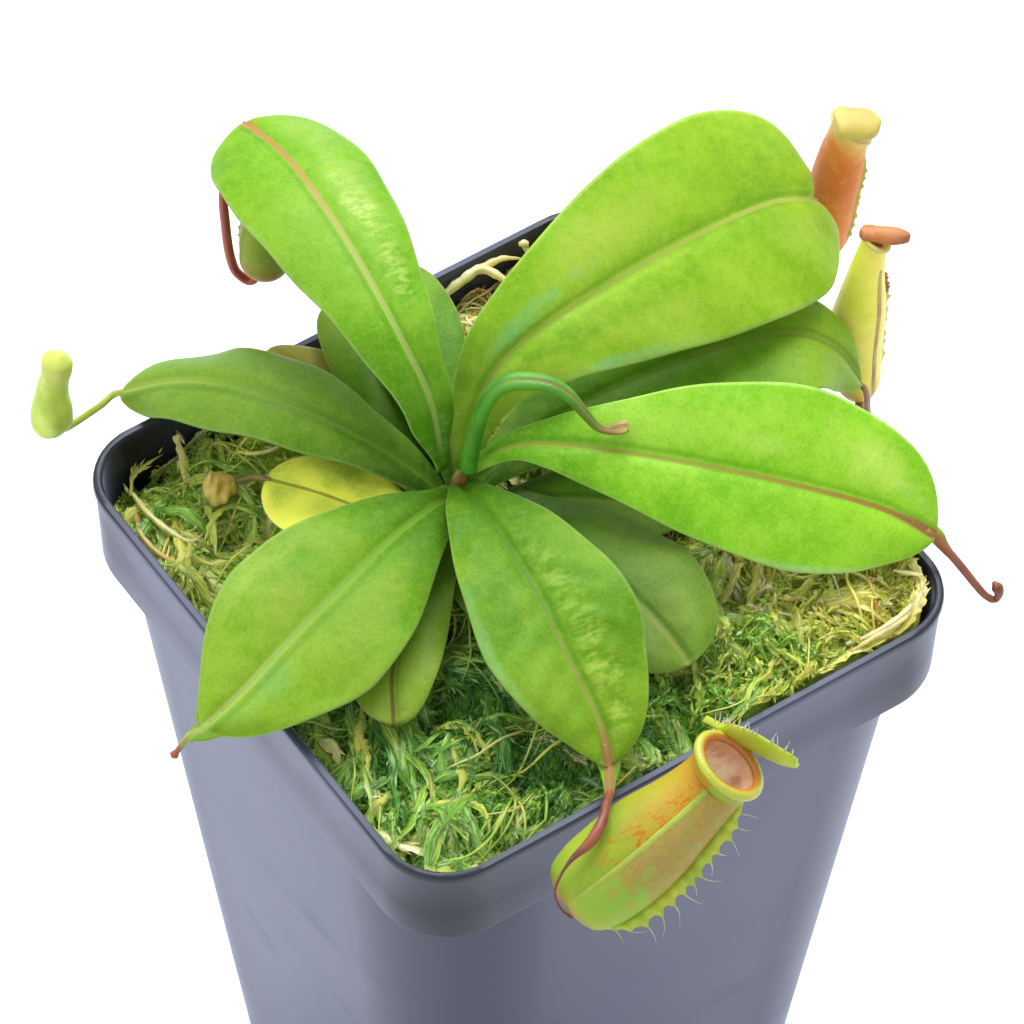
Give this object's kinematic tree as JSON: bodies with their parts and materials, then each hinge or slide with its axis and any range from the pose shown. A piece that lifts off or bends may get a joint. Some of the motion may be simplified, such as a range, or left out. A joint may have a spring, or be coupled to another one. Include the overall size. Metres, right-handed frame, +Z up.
{
  "type": "potted pitcher plant",
  "caption": "Young pitcher plant with strap leaves and hanging pitchers, growing in moss in a tapered square black nursery pot.",
  "frame": {"origin": "centre of the pot's base, on the surface that the pot stands on", "axes": "+Z up; X and Y run along the sides of the square pot; the large front pitcher hangs over the -Y side of the rim"},
  "size_m": [0.134, 0.1291, 0.1567],
  "materials": {
    "pot_plastic": "satin black with a grey sheen",
    "moss": "soft, matte, from deep green to straw yellow",
    "stem_skin": "matte",
    "leaf_bright": "waxy satin with a pale midrib",
    "leaf_dark": "waxy satin with a pale midrib",
    "leaf_yellow": "satin",
    "leaf_old": "satin",
    "leaf_rolled": "satin, with a brown bud",
    "pitcher_speckled": "satin, speckled orange red",
    "pitcher_olive": "satin",
    "pitcher_orange": "satin",
    "pitcher_pale": "satin, with a brown lid and wings",
    "pitcher_bud": "satin",
    "pitcher_dry": "matte"
  },
  "bodies": {
    "root": {"pot": "pot_plastic", "moss": "moss", "stem": "stem_skin", "leaf_back_left": "leaf_bright", "leaf_back_right": "leaf_bright", "leaf_right": "leaf_bright", "leaf_front": "leaf_bright", "leaf_front_left": "leaf_bright", "leaf_left": "leaf_dark", "leaf_right_low": "leaf_dark", "leaf_front_low": "leaf_dark", "leaf_middle_low": "leaf_dark", "leaf_under_left": "leaf_bright", "leaf_yellow": "leaf_yellow", "leaf_small": "leaf_bright", "leaf_back_narrow": "leaf_dark", "leaf_back_dark": "leaf_dark", "leaf_back_old": "leaf_old", "leaf_new": "leaf_rolled", "pitcher_front": "pitcher_speckled", "pitcher_back_left": "pitcher_olive", "pitcher_back_right": "pitcher_orange", "pitcher_right": "pitcher_pale", "pitcher_young": "pitcher_bud", "pitcher_dried": "pitcher_dry"}
  },
  "joints": []
}
